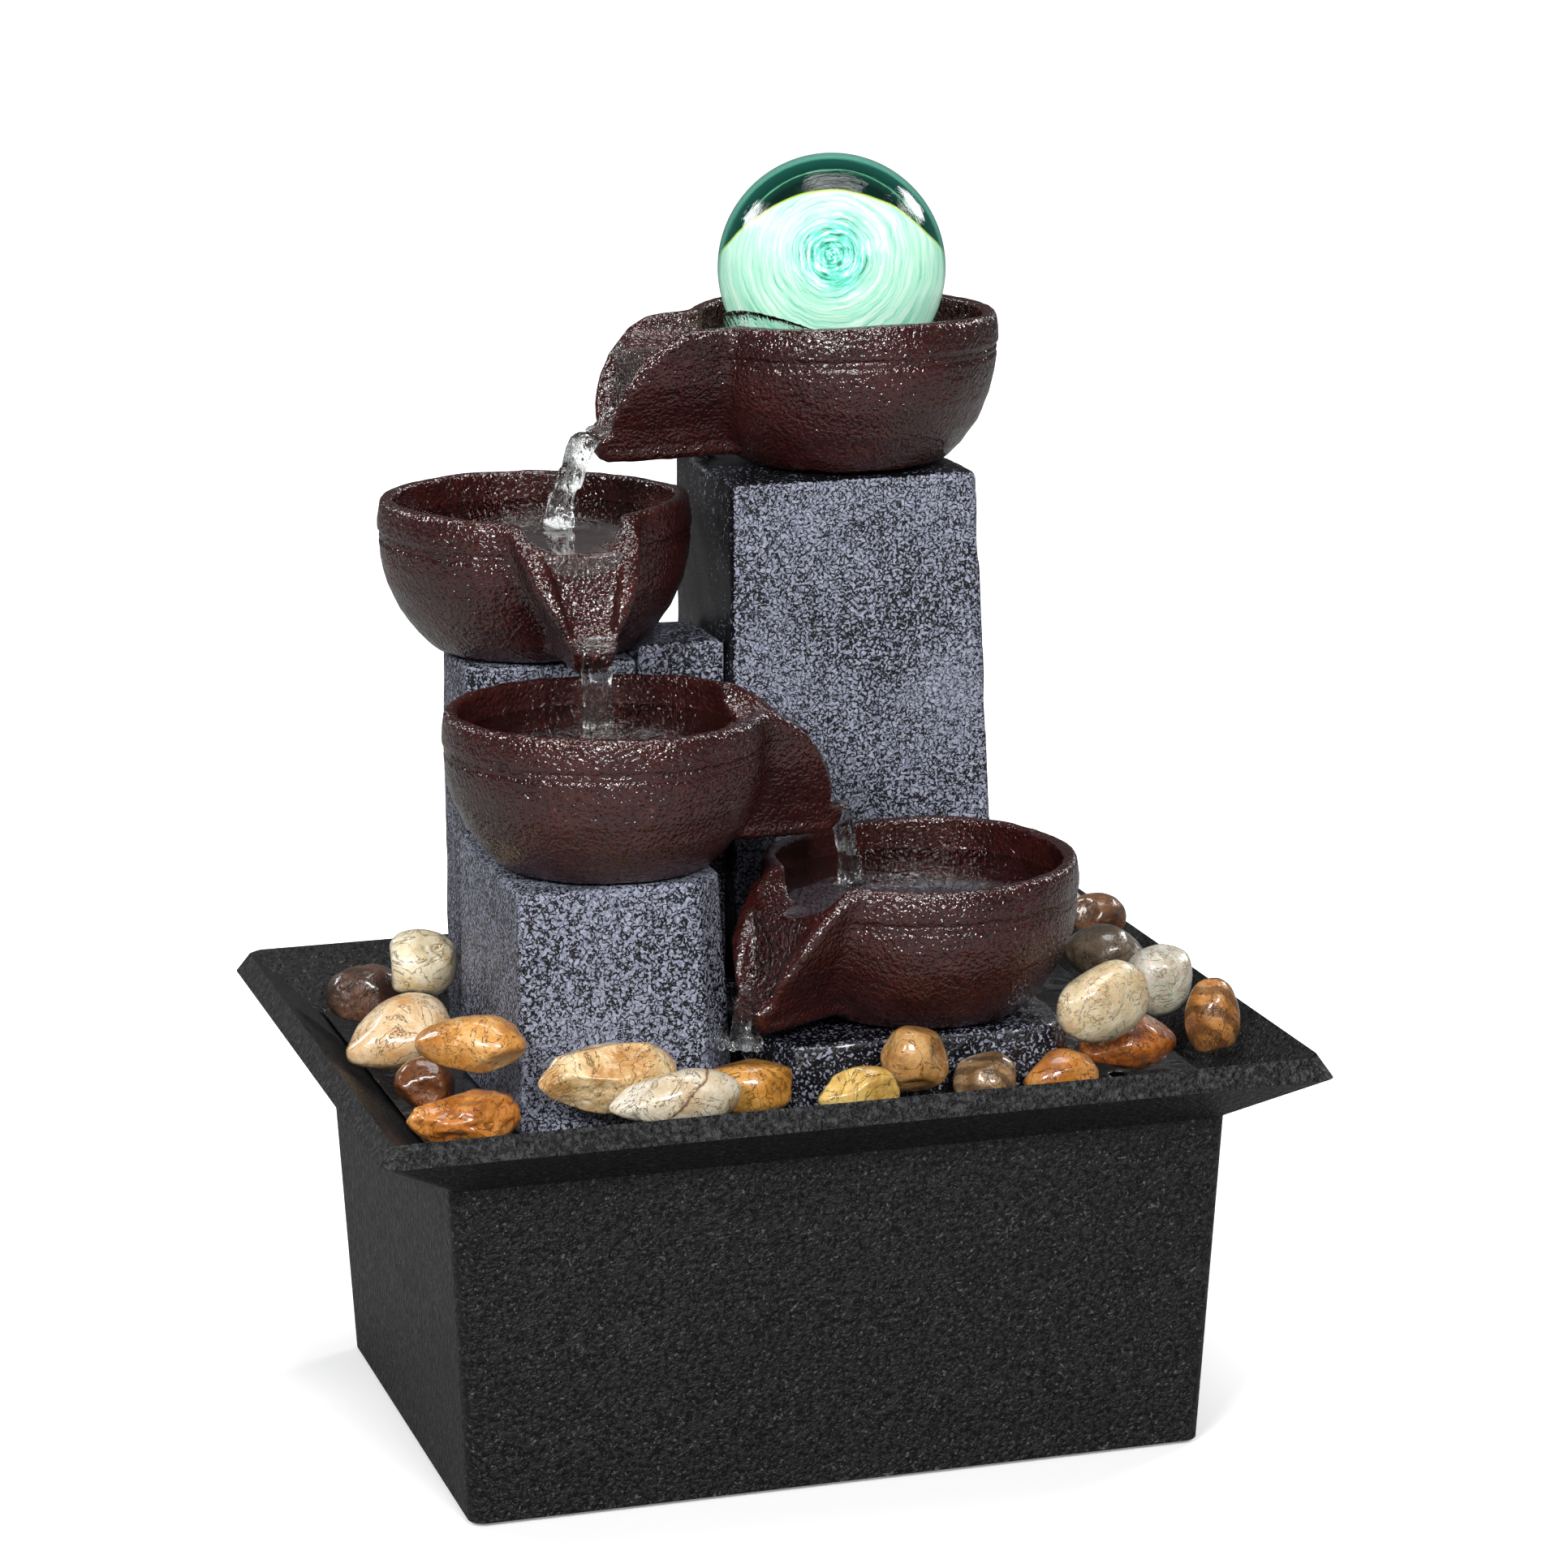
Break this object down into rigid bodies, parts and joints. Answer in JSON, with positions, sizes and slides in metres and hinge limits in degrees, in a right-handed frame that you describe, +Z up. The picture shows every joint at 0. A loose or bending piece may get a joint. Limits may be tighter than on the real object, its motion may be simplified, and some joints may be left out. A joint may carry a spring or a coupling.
{
  "type": "tabletop water fountain",
  "caption": "Cascading tabletop fountain: bowls with beak spouts on stone pillars over a pebble basin, with a spinning lit crystal ball and a hidden pump.",
  "frame": {"origin": "on the table, in the middle of the basin's footprint", "axes": "+Z up, +X to the right seen from the front, +Y to the back"},
  "size_m": [0.205, 0.1586, 0.2725],
  "materials": {
    "basin_resin": "charcoal with fine light speckle and a coarse stipple",
    "black_rubber": "matt",
    "pump_plastic": "satin black",
    "shaft_ceramic": "ground",
    "clear_rubber": "translucent grey",
    "impeller_plastic": "moulded white",
    "magnet": "dark ferrite",
    "foam": "coarse open foam",
    "dial_plastic": "satin black",
    "deck_resin": "wet black",
    "pillar_stone": "black casting dry-brushed blue-grey",
    "cover_plastic": "satin black",
    "screw_steel": "plain",
    "plinth_stone": "black, wet, lightly dry-brushed",
    "bowl_glaze": "wet gloss maroon with a hammered grain",
    "tube_vinyl": "clear vinyl",
    "board": "green lacquer",
    "lens_clear": "clear",
    "lead_vinyl": "black vinyl",
    "seat_plastic": "black",
    "crystal_glass": "polished crystal lit green from below",
    "stone_cream": "polished wet",
    "stone_umber": "polished wet",
    "stone_ochre": "polished wet",
    "stone_grey": "polished wet",
    "stone_tan": "polished wet",
    "stone_rust": "polished wet",
    "stone_white": "frosted quartz"
  },
  "bodies": {
    "basin": {"basin": "basin_resin", "foot_pads": "black_rubber", "cable_grommet": "black_rubber", "pump_motor": "pump_plastic", "pump_volute": "pump_plastic", "shaft_bush": "black_rubber", "impeller_shaft": "shaft_ceramic", "suction_cups": "clear_rubber", "pump_gland": "black_rubber"},
    "impeller": {"impeller": "impeller_plastic", "rotor_magnet": "magnet"},
    "pump_cover": {"pump_cover": "pump_plastic", "intake_foam": "foam"},
    "flow_dial": {"flow_dial": "dial_plastic"},
    "tower": {"stone_deck": "deck_resin", "tall_pillar": "pillar_stone", "rear_cover": "cover_plastic", "cover_screws": "screw_steel", "left_pillar": "pillar_stone", "ledge_pillar": "pillar_stone", "front_pillar": "pillar_stone", "low_plinth": "plinth_stone", "top_bowl": "bowl_glaze", "second_bowl": "bowl_glaze", "third_bowl": "bowl_glaze", "fourth_bowl": "bowl_glaze", "riser_tube": "tube_vinyl", "nozzle": "pump_plastic", "led_housing": "pump_plastic", "led_board": "board", "led_lens": "lens_clear", "led_lead": "lead_vinyl", "led_connector": "lead_vinyl", "pebble_amber": "stone_ochre", "pebble_back_amber": "stone_ochre", "pebble_back_brown": "stone_tan", "pebble_back_grey": "stone_grey", "pebble_back_ochre": "stone_ochre", "pebble_back_white": "stone_white", "pebble_chestnut": "stone_umber", "pebble_cream": "stone_cream", "pebble_cream_oval": "stone_cream", "pebble_dark_brown": "stone_umber", "pebble_far_grey": "stone_white", "pebble_frosted": "stone_white", "pebble_honey": "stone_ochre", "pebble_mustard": "stone_ochre", "pebble_pale_tan": "stone_cream", "pebble_rough_orange": "stone_ochre", "pebble_rust": "stone_rust", "pebble_seamed_grey": "stone_grey", "pebble_slate": "stone_umber", "pebble_striped": "stone_grey", "pebble_tan": "stone_tan", "pebble_upright_tan": "stone_tan", "pebble_wedge_brown": "stone_umber", "pebble_wet_ochre": "stone_ochre", "pebble_white_pitted": "stone_cream"},
    "ball_seat": {"ball_seat": "seat_plastic"},
    "crystal_ball": {"crystal_ball": "crystal_glass"}
  },
  "joints": [
    {"name": "impeller_spin", "type": "hinge", "parent": "basin", "child": "impeller", "pos_m": [0.03, 0.031, 0.025], "axis": [1, 0, 0], "continuous": true},
    {"name": "cover_slide", "type": "slide", "parent": "basin", "child": "pump_cover", "axis": [-1, 0, 0], "range_m": [0, 0.012]},
    {"name": "dial_turn", "type": "hinge", "parent": "pump_cover", "child": "flow_dial", "pos_m": [0.009, 0.031, 0.017], "axis": [1, 0, 0], "range_deg": [0, 90]},
    {"name": "tower_lift", "type": "slide", "parent": "basin", "child": "tower", "axis": [0, 0, 1], "range_m": [0, 0.12]},
    {"name": "seat_lift", "type": "slide", "parent": "tower", "child": "ball_seat", "axis": [0, 0, 1], "range_m": [0, 0.06]},
    {"name": "ball_spin", "type": "hinge", "parent": "ball_seat", "child": "crystal_ball", "pos_m": [0.026, 0.031, 0.2475], "axis": [0.2829, 0.9303, -0.2333], "continuous": true}
  ]
}
